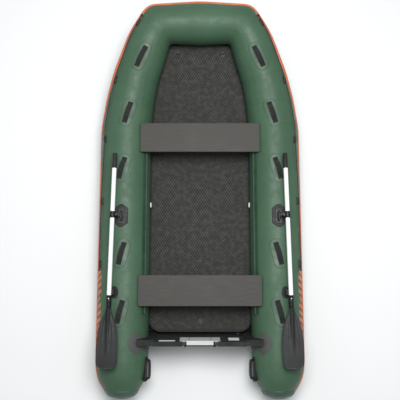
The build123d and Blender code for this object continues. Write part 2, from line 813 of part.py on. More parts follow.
def oar_collars():
    """Rubber stops either side of the clamp ring."""
    near = clamp_length / 2 + 0.4
    far = near + 10
    return [stowed(oar_tube(21, shaft_radius, *ends)) for ends in ((far, near), (-near, -far))]


def oar_blade():
    """Flat blade with a socket on the shaft and a tapering rib."""
    start, end, half = -blade_start, -blade_end, blade_half_width
    edge = Spline((18, start - 60), (40, start - 130), (half - 6, start - 250), (half, start - 400),
                  (half - 8, end + 30), tangents=[(0.05, -1), (-0.3, -1)])
    tip = Spline((half - 8, end + 30), (0, end), tangents=[(-0.3, -1), (-1, 0)])
    inner = Polyline((0, end), (0, start - 60), (18, start - 60))
    side = make_face([*edge.edges(), *tip.edges(), *inner.edges()])
    plate = extrude(side + mirror(side, about=Plane.YZ), 3, both=True)
    socket = along_y(20, 92, 0, 0, start - 46)
    root, toe = Plane.XZ * Circle(17), Plane.XZ * Circle(5)
    rib = loft([Pos(0, start - 90, 0) * root, Pos(0, start - 400, 0) * toe])
    body = Pos(oar_offset, 0, oar_height) * (plate + socket + rib)
    body -= along_y(shaft_radius, 140, oar_offset, oar_height, start)
    return stowed(body - upright(4.3, oar_height, oar_height + 40, oar_offset, start - 24))


def snap_button():
    """Sprung button that locks the shaft in the blade's socket."""
    y = -blade_start - 24
    post = upright(4.2, oar_height + 8, oar_height + 21.5, oar_offset, y)
    return stowed(post + upright(6, oar_height + 8, oar_height + 11, oar_offset, y))


def oar_rest():
    """Bonded pad and saddle that the stowed shaft lies over."""
    place = on_tube(oar_rest_y, 76)
    pad = bent_plate(place, Ellipse(45, 32), 2.5)
    x = oar_x + (oar_pin_y - oar_rest_y) * tan(radians(oar_yaw))
    post = Pos(x, oar_rest_y, 395) * Box(30, 40, 58)
    lip = Pos(x - 25.5, oar_rest_y, 402) * Box(9, 40, 72)
    bridge = Pos(x - 20, oar_rest_y, 392) * Box(16, 40, 52)
    body = cut_by_tube(post + bridge + lip, straight_end, sheer_start, glue + 2.6)
    return pad, max(body.solids(), key=lambda s: s.volume)


write("oarlock_pads", both([oarlock_pad()]))
write("oarlock_brackets", both([oarlock_bracket()]))
write("oarlock_axles", both([axle()]))
write("oar_rests", both(oar_rest()))
pieces = {"swivel_block": [swivel_block()], "oar_clamp": [oar_clamp()], "oar_shaft": [oar_shaft()],
          "oar_grip": [oar_grip()], "oar_collars": oar_collars(), "oar_blade": [oar_blade()],
          "snap_button": [snap_button()]}
for name, parts in pieces.items():
    write(f"{name}_starboard", parts)
    write(f"{name}_port", [port(p) for p in parts])
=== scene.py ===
from math import cos, exp, radians, sin, sqrt, tau

import bmesh
import bpy
import numpy as np
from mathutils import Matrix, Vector


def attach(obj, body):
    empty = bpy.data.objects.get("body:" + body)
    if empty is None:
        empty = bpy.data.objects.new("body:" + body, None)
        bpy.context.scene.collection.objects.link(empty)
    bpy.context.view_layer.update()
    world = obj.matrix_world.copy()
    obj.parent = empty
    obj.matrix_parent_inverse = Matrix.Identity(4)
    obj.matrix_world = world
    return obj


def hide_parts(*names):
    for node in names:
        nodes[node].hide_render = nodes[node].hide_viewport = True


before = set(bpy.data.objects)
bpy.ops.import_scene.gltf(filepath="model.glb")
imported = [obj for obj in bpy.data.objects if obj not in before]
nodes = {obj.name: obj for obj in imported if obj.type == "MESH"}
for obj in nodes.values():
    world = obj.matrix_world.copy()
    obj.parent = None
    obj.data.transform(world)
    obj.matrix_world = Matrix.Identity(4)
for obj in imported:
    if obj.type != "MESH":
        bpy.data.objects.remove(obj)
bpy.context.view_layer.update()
print("frame in place,", len(nodes), "nodes")

# the hull's own sizes, in metres, from the stern forward
hull = {
    "length": 3.030, "beam": 1.555, "strakeProud": 0.006,
    "sideRadius": 0.193, "bowRadius": 0.165, "bowRise": 0.185,
    "cornerHalf": 0.326, "cornerFullness": 1.06, "cornerDrop": 0.013,
    "capLength": 0.065, "capRadius": 0.125, "tailRing": (0.140, 0.175), "tailSeam": 0.250,
    "panelSeam": -0.700,
    # inset from the straight side, distance aft of the bow tube's centre, rise, radius
    "sheer": [(0, 0.820, 0, 0.193), (0.029, 0.585, 0.016, 0.185),
              (0.072, 0.405, 0.062, 0.177), (0.172, 0.140, 0.137, 0.168)],
    "around": 112,           # faces round a tube
    "step": 0.012,           # length of one face along it
    "softness": 0.034,       # how far a panel joint is rounded
    "pucker": 0.0007,
}
sideX = hull["beam"] / 2 - hull["strakeProud"] - hull["sideRadius"]
bowY = hull["length"] / 2 - hull["strakeProud"] - hull["bowRadius"]
sternY = -hull["length"] / 2


def inScene(name, data):
    piece = bpy.data.objects.new(name, data)
    bpy.context.scene.collection.objects.link(piece)
    return piece


def meshOf(piece):
    # the mesh that its curve or modifiers give
    return bpy.data.meshes.new_from_object(piece.evaluated_get(bpy.context.evaluated_depsgraph_get()))


def addMesh(name, verts, faces, material, side=1, uv=None, smooth=True, values=None):
    verts = np.array(verts, float).reshape(-1, 3)
    if side < 0:
        verts = verts * (-1, 1, 1)
        faces = [tuple(reversed(f)) for f in faces]
    data = bpy.data.meshes.new(name)
    data.from_pydata(verts.tolist(), [], [[int(i) for i in f] for f in faces])
    if uv is not None:
        layer = data.uv_layers.new(name="UVMap")
        index = np.zeros(len(data.loops), np.int32)
        data.loops.foreach_get("vertex_index", index)
        layer.data.foreach_set("uv", np.array(uv, float).reshape(-1, 2)[index].ravel())
    for key, numbers in (values or {}).items():
        layer = data.attributes.new(key, "FLOAT", "POINT")
        layer.data.foreach_set("value", np.array(numbers, float).ravel())
    data.materials.append(material)
    data.polygons.foreach_set("use_smooth", [smooth] * len(data.polygons))
    data.update()
    return inScene(name, data)


def lattice(rows, columns, round=True):
    # quads between neighbouring rows of points
    faces = []
    for r in range(rows - 1):
        for c in range(columns if round else columns - 1):
            d = (c + 1) % columns
            faces.append((r * columns + c, r * columns + d, (r + 1) * columns + d, (r + 1) * columns + c))
    return faces


def capped(rings):
    # closes a row of rings with a pole at each end
    rings = np.asarray(rings, float)
    rows, columns = rings.shape[:2]
    verts = np.concatenate([rings.reshape(-1, 3), [rings[0].mean(0)], [rings[-1].mean(0)]])
    faces = lattice(rows, columns)
    start, end = rows * columns, rows * columns + 1
    faces += [(start, (c + 1) % columns, c) for c in range(columns)]
    base = (rows - 1) * columns
    faces += [(end, base + c, base + (c + 1) % columns) for c in range(columns)]
    return verts, faces


def orient(piece):
    # faces outwards, whichever way the rings ran, with crisp shading over steep edges
    work = bmesh.new()
    work.from_mesh(piece.data)
    bmesh.ops.recalc_face_normals(work, faces=work.faces)
    for edge in work.edges:
        edge.smooth = edge.calc_face_angle(0) < 0.95
    work.to_mesh(piece.data)
    work.free()
    return piece


def settle(piece, body="root", node=None):
    # puts a piece under its body and, for a redrawn part, hides the part it stands for
    if node:
        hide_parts(node)
    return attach(piece, body)


def unit(v):
    v = np.asarray(v, float)
    return v / np.linalg.norm(v, axis=-1, keepdims=True)


def distances(line):
    # how far along a line each of its points is
    return np.r_[0, np.cumsum(np.linalg.norm(np.diff(line, axis=0), axis=1))]


def spread(line, count, closed=False):
    # points evenly spaced along a line
    line = np.array(line, float)
    if closed:
        line = np.concatenate([line, line[:1]])
    run = distances(line)
    at = np.linspace(0, run[-1], count, endpoint=not closed)
    return np.stack([np.interp(at, run, column) for column in line.T], 1)


def smoothLine(points, count):
    # a soft curve through given points
    line = spread(points, count)
    width = max(3, count // (2 * len(points)))
    kernel = np.ones(width) / width
    for _ in range(2):
        padded = np.concatenate([np.repeat(line[:1], width, 0), line, np.repeat(line[-1:], width, 0)])
        line = np.stack([np.convolve(column, kernel, "same") for column in padded.T], 1)[width:-width]
    line[0], line[-1] = points[0], points[-1]
    return line


def axesAlong(line, away):
    # sideways and up, square to the line
    ahead = unit(np.gradient(line, axis=0))
    across = unit(np.cross(ahead, away))
    return across, np.cross(across, ahead)


def sweepAlong(line, outline, sideways):
    # a closed outline carried along a line: outline x goes sideways, y goes up
    line = np.asarray(line, float)
    ahead = unit(np.gradient(line, axis=0))
    sideways = np.asarray(sideways, float)
    across = unit(sideways - ahead * (ahead @ sideways)[:, None])
    up = np.cross(across, ahead)
    return np.array([p + np.outer(outline[:, 0], a) + np.outer(outline[:, 1], u)
                     for p, a, u in zip(line, across, up)])


def roundedBar(width, height, radius, perCorner=5):
    pts = []
    for cx, cy, start in ((1, 1, 0), (-1, 1, 90), (-1, -1, 180), (1, -1, 270)):
        for k in range(perCorner + 1):
            a = radians(start + 90 * k / perCorner)
            x, y = cx * (width / 2 - radius), cy * (height / 2 - radius)
            pts.append((x + radius * cos(a), y + radius * sin(a)))
    return np.array(pts)


def lathe(name, profile, origin, axis, material, around=40, side=1):
    # turned piece: profile is (radius, height along the axis), from pole to pole
    axis = unit(axis)
    first = unit(np.cross(axis, (0.3, 0.9, 0.31)))
    second = np.cross(axis, first)
    angles = np.arange(around) * tau / around
    ring = np.outer(np.cos(angles), first) + np.outer(np.sin(angles), second)
    rings = [np.asarray(origin) + axis * h + ring * max(r, 1e-5) for r, h in profile]
    return orient(addMesh(name, *capped(rings), material, side))


class Finish:
    # a material with short calls for its nodes
    def __init__(self, name, **settings):
        self.material = bpy.data.materials.new(name)
        self.material.use_nodes = True
        self.tree = self.material.node_tree
        self.shader = self.tree.nodes["Principled BSDF"]
        for key, value in settings.items():
            self.shader.inputs[key].default_value = value
        self.coords = self.tree.nodes.new("ShaderNodeTexCoord")

    def link(self, source, target):
        self.tree.links.new(source, target)

    def add(self, kind, inputs=None, **settings):
        made = self.tree.nodes.new("ShaderNode" + kind)
        for key, value in settings.items():
            setattr(made, key, value)
        for key, value in (inputs or {}).items():
            self.feed(made.inputs[key], value)
        return made

    def feed(self, target, value):
        if isinstance(value, bpy.types.NodeSocket):
            self.link(value, target)
        else:
            target.default_value = value

    def math(self, operation, a, b=0.0, c=0.0):
        return self.add("Math", {0: a, 1: b, 2: c}, operation=operation).outputs[0]

    def noise(self, scale, detail=3.0, roughness=0.5):
        inputs = {"Vector": self.coords.outputs["Object"], "Scale": scale, "Detail": detail, "Roughness": roughness}
        return self.add("TexNoise", inputs).outputs["Fac"]

    def streaks(self, stretch, detail, distortion=0.0):
        # noise drawn out along an axis, as grain and brushing are
        vector = self.add("Mapping", {"Vector": self.coords.outputs["Object"], "Scale": stretch}).outputs[0]
        inputs = {"Vector": vector, "Scale": 1.0, "Detail": detail, "Distortion": distortion}
        return self.add("TexNoise", inputs).outputs["Fac"]

    def between(self, value, low, high, start=0.0, end=1.0):
        inputs = {"Value": value, "From Min": low, "From Max": high, "To Min": start, "To Max": end}
        return self.add("MapRange", inputs, interpolation_type="SMOOTHSTEP").outputs[0]

    def mix(self, share, a, b):
        a, b = ((*value, 1) if isinstance(value, tuple) else value for value in (a, b))
        return self.add("Mix", {0: share, 6: a, 7: b}, data_type="RGBA").outputs[2]

    def axes(self, where="Object"):
        made = self.add("SeparateXYZ", {0: self.coords.outputs[where]})
        return made.outputs[0], made.outputs[1], made.outputs[2]

    def wave(self, value, pitch):
        return self.math("SINE", self.math("MULTIPLY", value, tau / pitch))

    def attribute(self, name):
        return self.add("Attribute", attribute_name=name).outputs["Fac"]

    def color(self, socket):
        self.link(socket, self.shader.inputs["Base Color"])
        return self

    def rough(self, value, low, high):
        self.link(self.between(value, 0.3, 0.7, low, high), self.shader.inputs["Roughness"])
        return self

    def bump(self, height, depth, strength=1.0):
        made = self.add("Bump", {"Height": height, "Distance": depth, "Strength": strength})
        earlier = self.shader.inputs["Normal"].links
        if earlier:
            self.link(earlier[0].from_socket, made.inputs["Normal"])
        self.link(made.outputs[0], self.shader.inputs["Normal"])
        return self


def mottled(name, dark, light, scale, grain, depth, low, high, gloss):
    # moulded or coated surface: soft colour change, fine grain, uneven gloss
    made = Finish(name, **{"Specular IOR Level": gloss})
    broad = made.noise(scale, 4.0)
    made.color(made.mix(made.between(broad, 0.35, 0.65), dark, light))
    made.rough(made.noise(scale * 3), low, high)
    made.bump(made.noise(grain, 2.0), depth, 0.35)
    return made.material


def tubeFabric():
    # coated fabric: woven scrim under the coat, welded tapes at the panel joints
    made = Finish("tubeFabric", **{"Specular IOR Level": 0.38})
    broad = made.noise(2.2, 5.0, roughness=0.6)
    fine = made.noise(38.0, 4.0)
    base = made.mix(made.between(broad, 0.3, 0.7), (0.048, 0.106, 0.060), (0.060, 0.126, 0.073))
    base = made.mix(made.between(fine, 0.55, 0.8, 0.0, 0.35), base, (0.078, 0.150, 0.090))
    seam = made.attribute("seam")
    tape = made.between(seam, 0.0185, 0.0200, 1.0, 0.0)
    outer = made.between(seam, 0.0195, 0.0225, 1.0, 0.0)
    edge = made.math("MULTIPLY", made.between(seam, 0.0165, 0.0185), outer)
    base = made.mix(made.math("MULTIPLY", tape, 0.12), base, (0.044, 0.100, 0.056))
    base = made.mix(made.math("MULTIPLY", edge, 0.26), base, (0.026, 0.060, 0.034))
    made.color(base)
    made.rough(made.noise(14.0, 5.0), 0.42, 0.60)
    u, v, _ = made.axes("UV")
    weave = made.math("MULTIPLY", made.wave(u, 0.0022), made.wave(v, 0.0022))
    made.bump(weave, 0.00012, 0.4)
    made.bump(tape, 0.0004, 0.5)
    made.bump(made.noise(9.0, 3.0), 0.004, 0.25)
    return made.material


def deckFabric():
    # non-slip sheet with a pressed diamond pattern and a plain welded border
    made = Finish("deckFabric", **{"Specular IOR Level": 0.35})
    x, y, _ = made.axes()
    pitch = 0.040
    first = made.wave(made.math("ADD", x, made.math("MULTIPLY", y, 0.62)), pitch)
    second = made.wave(made.math("SUBTRACT", x, made.math("MULTIPLY", y, 0.62)), pitch)
    nearest = made.math("MINIMUM", made.math("ABSOLUTE", first), made.math("ABSOLUTE", second))
    groove = made.between(nearest, 0.10, 0.55)
    edge = made.attribute("edge")
    inner = made.between(edge, 0.016, 0.018)
    broad = made.noise(3.0, 5.0)
    # painted shade: the pressed grooves are coloured four times darker than the raised diamonds, on top of their
    # bump
    diamonds = made.mix(groove, (0.009, 0.009, 0.008), (0.039, 0.039, 0.033))
    diamonds = made.mix(made.between(broad, 0.35, 0.7, 0.0, 0.5), diamonds, (0.027, 0.026, 0.022))
    # the plain unpatterned border is real; its darker colour is painted shade along the deck's edges next to the
    # tubes
    border = made.mix(made.between(broad, 0.3, 0.7), (0.017, 0.019, 0.017), (0.023, 0.025, 0.022))
    made.color(made.mix(inner, border, diamonds))
    made.rough(made.noise(30.0, 4.0), 0.55, 0.75)
    made.bump(made.math("MULTIPLY", groove, inner), 0.0010, 0.8)
    made.bump(made.noise(1200.0), 0.0002, 0.4)
    return made.material


def webbingFabric():
    made = Finish("webbing", **{"Specular IOR Level": 0.25, "Sheen Weight": 0.08})
    u, v, _ = made.axes("UV")
    rib = made.wave(made.math("ADD", v, made.math("MULTIPLY", u, 0.5)), 0.0026)
    cross = made.wave(made.math("SUBTRACT", v, made.math("MULTIPLY", u, 0.5)), 0.0026)
    weave = made.math("MAXIMUM", rib, cross)
    base = made.mix(made.between(weave, -0.2, 0.9), (0.007, 0.008, 0.008), (0.026, 0.028, 0.028))
    worn = made.between(made.noise(60.0, 3.0), 0.5, 0.8, 0.0, 0.5)
    made.color(made.mix(worn, base, (0.034, 0.035, 0.034)))
    made.rough(made.noise(90.0), 0.6, 0.8)
    made.bump(weave, 0.0005, 0.8)
    return made.material


def ropeFibre():
    made = Finish("ropeFibre", **{"Sheen Weight": 0.2})
    u, v, _ = made.axes("UV")
    twist = made.wave(made.math("ADD", v, made.math("MULTIPLY", u, 0.9)), 0.0022)
    made.color(made.mix(made.between(twist, -0.4, 0.9), (0.006, 0.006, 0.007), (0.030, 0.031, 0.033)))
    made.rough(made.noise(200.0), 0.55, 0.8)
    made.bump(twist, 0.0004, 0.8)
    return made.material


def seatBoard():
    # matt composite board with fine lengthwise brushing
    made = Finish("seatBoard", **{"Specular IOR Level": 0.35})
    grain = made.streaks((9.0, 320.0, 80.0), 5.0)
    broad = made.noise(4.0, 4.0)
    base = made.mix(made.between(grain, 0.35, 0.7), (0.050, 0.047, 0.042), (0.060, 0.057, 0.051))
    made.color(made.mix(made.between(broad, 0.4, 0.75, 0.0, 0.4), base, (0.068, 0.064, 0.057)))
    made.rough(grain, 0.5, 0.7)
    made.bump(grain, 0.0004, 0.5)
    return made.material


def paintedPly():
    made = Finish("paintedPly", **{"Coat Weight": 0.15, "Coat Roughness": 0.3})
    grain = made.streaks((5.0, 60.0, 90.0), 6.0, 0.6)
    made.color(made.mix(made.between(grain, 0.3, 0.7), (0.016, 0.018, 0.018), (0.028, 0.031, 0.030)))
    made.rough(grain, 0.38, 0.55)
    made.bump(grain, 0.0004, 0.5)
    return made.material


def brushedMetal(name, dark, light, metallic, low, high, stretch):
    made = Finish(name, Metallic=metallic)
    grain = made.streaks(stretch, 4.0)
    made.color(made.mix(made.between(grain, 0.3, 0.7), dark, light))
    made.rough(grain, low, high)
    made.bump(grain, 0.0001, 0.3)
    return made.material


# moulded and coated finishes: dark and light colour, patches, grain, depth, least and most roughness, gloss
coated = {
    "patch": ("patchFabric", (0.043, 0.096, 0.054), (0.053, 0.113, 0.065),
        5, 700, 0.0003, 0.42, 0.58, 0.5),
    "flap": ("flapFabric", (0.060, 0.065, 0.062), (0.080, 0.085, 0.080),
        7, 600, 0.0003, 0.45, 0.6, 0.5),
    "cap": ("capRubber", (0.036, 0.084, 0.058), (0.048, 0.102, 0.072),
        6, 500, 0.0003, 0.40, 0.55, 0.5),
    "orange": ("orangeRubber", (0.60, 0.120, 0.030), (0.72, 0.160, 0.045),
        9, 500, 0.0002, 0.38, 0.55, 0.5),
    # the track rubber is darker than the tube partly as painted shade, as the tracks lie on the tubes' shaded inner
    # sides
    "track": ("trackRubber", (0.028, 0.066, 0.038), (0.038, 0.082, 0.048),
        8, 600, 0.0002, 0.42, 0.56, 0.30),
    "plastic": ("mouldedPlastic", (0.006, 0.0065, 0.0065), (0.012, 0.013, 0.013),
        20, 1400, 0.0002, 0.34, 0.5, 0.32),
    "holder": ("holderRubber", (0.010, 0.012, 0.012), (0.019, 0.021, 0.020),
        20, 900, 0.0002, 0.42, 0.56, 0.30),
    "rubber": ("blackRubber", (0.014, 0.015, 0.015), (0.024, 0.025, 0.025),
        16, 900, 0.0003, 0.5, 0.7, 0.35),
    "pad": ("padRubber", (0.013, 0.015, 0.014), (0.021, 0.024, 0.022),
        12, 900, 0.0003, 0.5, 0.65, 0.35),
    "white": ("whitePlastic", (0.80, 0.80, 0.78), (0.88, 0.88, 0.86),
        18, 1400, 0.0001, 0.35, 0.5, 0.5),
    "blade": ("bladePlastic", (0.009, 0.010, 0.009), (0.016, 0.018, 0.017),
        8, 1100, 0.0002, 0.38, 0.54, 0.38),
    "bottom": ("bottomFabric", (0.020, 0.022, 0.021), (0.032, 0.034, 0.033),
        5, 700, 0.0004, 0.5, 0.7, 0.5),
}
finishes = {"tube": tubeFabric(), "deck": deckFabric(), "webbing": webbingFabric(), "rope": ropeFibre(),
            "seat": seatBoard(), "ply": paintedPly()}
for key, settings in coated.items():
    finishes[key] = mottled(*settings)
metals = {
    "shaft": ("anodisedShaft", (0.90, 0.93, 0.91), (0.97, 0.98, 0.97), 0.05, 0.25, 0.38, (900, 6, 900)),
    "plate": ("motorPlate", (0.66, 0.67, 0.67), (0.80, 0.81, 0.80), 0.25, 0.28, 0.42, (8, 600, 600)),
    "steel": ("fittingSteel", (0.50, 0.51, 0.52), (0.62, 0.63, 0.64), 1.0, 0.2, 0.35, (60, 900, 900)),
}
for key, settings in metals.items():
    finishes[key] = brushedMetal(*settings)
print("finishes made:", len(finishes))


# the hull's line
def hullRings():
    # sections from the starboard tail to the port tail, straight between panel joints
    r = hull["sideRadius"]
    rows = [(sideX, sternY + hull["capLength"], r, hull["capRadius"], 1),
            (sideX, sternY + hull["tailRing"][0], r, hull["tailRing"][1], 1),
            (sideX, sternY + hull["tailSeam"], r, r, 1), (sideX, hull["panelSeam"], r, r, 1)]
    for inset, aft, rise, radius in hull["sheer"]:
        rows.append((sideX - inset, bowY - aft, r + rise, radius, 1))
    lift = r + hull["bowRise"]
    corner = (hull["cornerHalf"], bowY, lift - hull["cornerDrop"])
    rows.append((*corner, hull["bowRadius"], hull["cornerFullness"]))
    rows.append((0, bowY, lift, hull["bowRadius"], 1))
    centers = np.array([row[:3] for row in rows], float)
    steps = unit(np.diff(centers, axis=0))
    ahead = np.array([steps[0], *[unit(a + b) for a, b in zip(steps, steps[1:])], (-1, 0, 0)], float)
    out = unit(np.cross(ahead, (0, 0, 1)))
    up = np.cross(out, ahead)
    radius = np.array([row[3] for row in rows])
    width = np.array([row[4] for row in rows])
    return centers, out, up, radius, width


centers, outAt, upAt, radiusAt, widthAt = hullRings()
angles = np.arange(hull["around"]) * tau / hull["around"]


def ringAt(i):
    r = radiusAt[i]
    wide = np.outer(np.cos(angles) * r * widthAt[i], outAt[i])
    return centers[i] + wide + np.outer(np.sin(angles) * r, upAt[i])


def denseHull():
    rings, seam, starts = [], [], [0]
    for i in range(len(centers) - 1):
        a, b = ringAt(i), ringAt(i + 1)
        span = np.linalg.norm(centers[i + 1] - centers[i])
        count = max(2, round(span / hull["step"]))
        starts.append(starts[-1] + count)
        for k in range(count):
            share = k / count
            rings.append(a + (b - a) * share)
            near = share * span if i > 1 else 9
            far = (1 - share) * span if 1 < i + 1 < len(centers) - 1 else 9
            seam.append(min(near, far))
    rings.append(ringAt(len(centers) - 1))
    seam.append(9)
    half = np.array(rings)
    whole = np.concatenate([half, half[-2::-1] * (-1, 1, 1)])
    seam = np.array(seam + seam[-2::-1])
    # round the joints: a short blur along the hull leaves the straight stretches as they are
    reach = round(3 * hull["softness"] / hull["step"])
    kernel = np.exp(-0.5 * (np.arange(-reach, reach + 1) * hull["step"] / hull["softness"]) ** 2)
    kernel /= kernel.sum()
    head = 2 * whole[:1] - whole[reach:0:-1]
    tail = 2 * whole[-1:] - whole[-2:-2 - reach:-1]
    padded = np.concatenate([head, whole, tail])
    soft = sum(w * padded[k:k + len(whole)] for k, w in enumerate(kernel))
    middle = soft.mean(1, keepdims=True)
    bend = np.exp(-(seam / 0.07) ** 2)[:, None]
    dip = np.exp(-(seam / 0.010) ** 2)[:, None]
    inner = (0.5 - 0.5 * np.cos(angles))[None, :] ** 2
    ripple = np.cos(angles * 26)[None, :] * bend * inner + 0.4 * np.cos(angles * 17 + 1)[None, :] * bend
    change = hull["pucker"] * (ripple - 0.8 * dip - 0.4 * bend)
    soft = soft + unit(soft - middle) * change[..., None]
    return soft, seam, starts


rings, seamDistance, ringStarts = denseHull()
ringMiddle = rings.mean(1)
runLength = distances(ringMiddle)
bowSeam = ringStarts[6]
lastRing = len(rings) - 1


def chamber(name, first, last, node):
    part = rings[first:last + 1]
    verts, faces = capped(part)
    columns = hull["around"]
    around = np.minimum(angles, tau - angles) * hull["sideRadius"]
    uv = [(a, runLength[k]) for k in range(first, last + 1) for a in around]
    uv += [(0, runLength[first]), (0, runLength[last])]
    seam = np.repeat(seamDistance[first:last + 1], columns)
    piece = addMesh(name, verts, faces, finishes["tube"], uv=uv, values={"seam": np.r_[seam, 9, 9]})
    return settle(orient(piece), node=node)


chamber("starboardTube", 0, bowSeam, "tube_starboard")
chamber("bowTube", bowSeam, lastRing - bowSeam, "tube_bow")
chamber("portTube", lastRing - bowSeam, lastRing, "tube_port")
print("tubes laid")

strake = {"sideLift": 5, "bowLift": 33, "riseFrom": 0.35,     # lifts in degrees round the tube
          # height round the tube and thickness, in millimetres, from the middle up
          "profile": [(5, 5.8), (11, 5.3), (12.6, 3.4), (15.4, 3.4), (17, 4.9), (26, 4.6), (30, 3.8), (31.6, 2.2),
                      (32, 0)]}


def rubStrake():
    # ribbed rubber strip round the outermost line
    upper = np.array(strake["profile"]) / 1000
    profile = np.concatenate([upper[::-1] * (-1, 1), upper])
    rows = []
    for ring, middle in zip(rings, ringMiddle):
        share = min(1, max(0, (middle[1] - strake["riseFrom"]) / (bowY - strake["riseFrom"])))
        share = share * share * (3 - 2 * share)
        lift = radians(strake["sideLift"] + (strake["bowLift"] - strake["sideLift"]) * share)
        wide, tall = ring[0] - middle, ring[hull["around"] // 4] - middle
        outward = wide * cos(lift) + tall * sin(lift)
        reach = np.linalg.norm(outward)
        outward = outward / reach
        upward = tall * cos(lift) - wide * sin(lift)
        upward = unit(upward - outward * (upward @ outward))
        line = [*profile, (0.031, -0.001), (-0.031, -0.001)]     # the last two close it inside the tube
        rows.append([middle + outward * (sqrt(reach ** 2 - t ** 2) + h) + upward * t for t, h in line])
    piece = orient(addMesh("rubStrake", *capped(rows), finishes["orange"]))
    return settle(piece, node="rub_strake")


rubStrake()


# fittings that lie on the tubes
class Spot:
    # a place on the starboard tube: x towards the bow, y over the top to the inside, z outward
    def __init__(self, y, angle, turn=0.0):
        i = min(7, max([k for k in range(len(centers) - 1) if centers[k][1] <= y] or [0]))
        share = (y - centers[i][1]) / (centers[i + 1][1] - centers[i][1])
        a = radians(angle)
        ends, turns = [], []
        for k in (i, i + 1):
            wide, r = radiusAt[k] * widthAt[k], radiusAt[k]
            ends.append(centers[k] + outAt[k] * wide * cos(a) + upAt[k] * r * sin(a))
            turns.append(upAt[k] * r * cos(a) - outAt[k] * wide * sin(a))
        self.origin = ends[0] + (ends[1] - ends[0]) * share
        along = unit(ends[1] - ends[0])
        self.z = unit(np.cross(along, unit(turns[0] + (turns[1] - turns[0]) * share)))
        side = np.cross(self.z, along)
        self.turn = radians(turn)
        self.x = along * cos(self.turn) + side * sin(self.turn)
        self.y = np.cross(self.z, self.x)
        self.radius = radiusAt[i] + (radiusAt[i + 1] - radiusAt[i]) * share

    def at(self, x, y, height):
        # a point over the round surface
        across = x * sin(self.turn) + y * cos(self.turn)
        r = self.radius + height
        sag = sqrt(max(r * r - across * across, 0)) - self.radius
        return self.origin + self.x * x + self.y * y + self.z * sag

    def flat(self, x, y, height):
        return self.origin + self.x * x + self.y * y + self.z * height


def bonded(name, spot, outline, height, finish, side, base=0.0003, ringsIn=12):
    # a plate that follows the tube: outline is round its middle, height(x, y, edge) is its top
    outline = np.array(outline, float)
    n = len(outline)
    shares = np.r_[0.03, np.linspace(0.12, 0.9, ringsIn), 0.94, 0.97, 0.985, 1.0]
    rows = []
    for share in shares:
        row = []
        for x, y in outline * share:
            edge = (1 - share) * min(abs(outline).max(0).min(), 0.06)
            row.append(spot.at(x, y, height(x, y, edge)))
        rows.append(row)
    rows.append([spot.at(x, y, base) for x, y in outline])
    rows.append([spot.at(x, y, base) for x, y in outline * 0.5])
    verts, faces = capped(rows)
    uv = [(x * s, y * s) for s in [*shares, 1, 0.5] for x, y in outline] + [(0, 0), (0, 0)]
    return settle(orient(addMesh(name, verts, faces, finishes[finish], side, uv=uv)))


def roundedOutline(length, width, radius, count=72):
    return spread(roundedBar(length, width, radius, 9), count, closed=True)


def softEdge(edge, thickness, width=0.002):
    return thickness * min(1, (edge / width) ** 0.5 if edge > 0 else 0)


sides = (("port", -1), ("starboard", 1))
handle = {"places": [(1.088, 96, 7.5), (0.640, 94.4, 11), (0.191, 87.3, 15.6), (-0.456, 89.8, 14.6),
                     (-0.882, 89.1, 13.3)],
          "patch": (0.226, 0.104, 0.048), "thickness": 0.0016, "bed": 0.0008,
          "length": 0.168, "width": 0.038, "strap": 0.003, "lift": 0.026, "sewn": 0.026, "seat": 0.0046,
          "stitching": {"Stitch Spacing": 0.0042, "Stitch Length": 0.0030, "Thread Radius": 0.0006}}


def strapLine(spot):
    half = handle["length"] / 2
    arch = half - handle["sewn"] + 0.004
    line = []
    for x in np.linspace(-half, half, 61):
        s = min(1, abs(x) / arch)
        line.append(spot.flat(x, 0, handle["seat"] + handle["lift"] * (1 - s ** 3) ** 1.5))
    return np.array(line)


def handlePatch(name, spot, side):
    length, width, radius = handle["patch"]
    outline = roundedOutline(length, width, radius)

    def height(x, y, edge):
        ridge = exp(-((edge - 0.0085) / 0.0016) ** 2) * 0.0004
        return handle["bed"] + softEdge(edge, handle["thickness"]) + ridge

    return bonded(name, spot, outline, height, "patch", side)


def strapHandle(name, spot, side):
    # webbing arched over its patch
    outline = roundedBar(handle["width"], handle["strap"], 0.0012, 3)
    line = strapLine(spot)
    rows = sweepAlong(line, outline, spot.y)
    verts, faces = capped(rows)
    uv = [(x, s) for s in distances(line) for x, _ in outline] + [(0, 0), (0, 0)]
    piece = orient(addMesh(name, verts, faces, finishes["webbing"], side, uv=uv))
    return settle(piece)


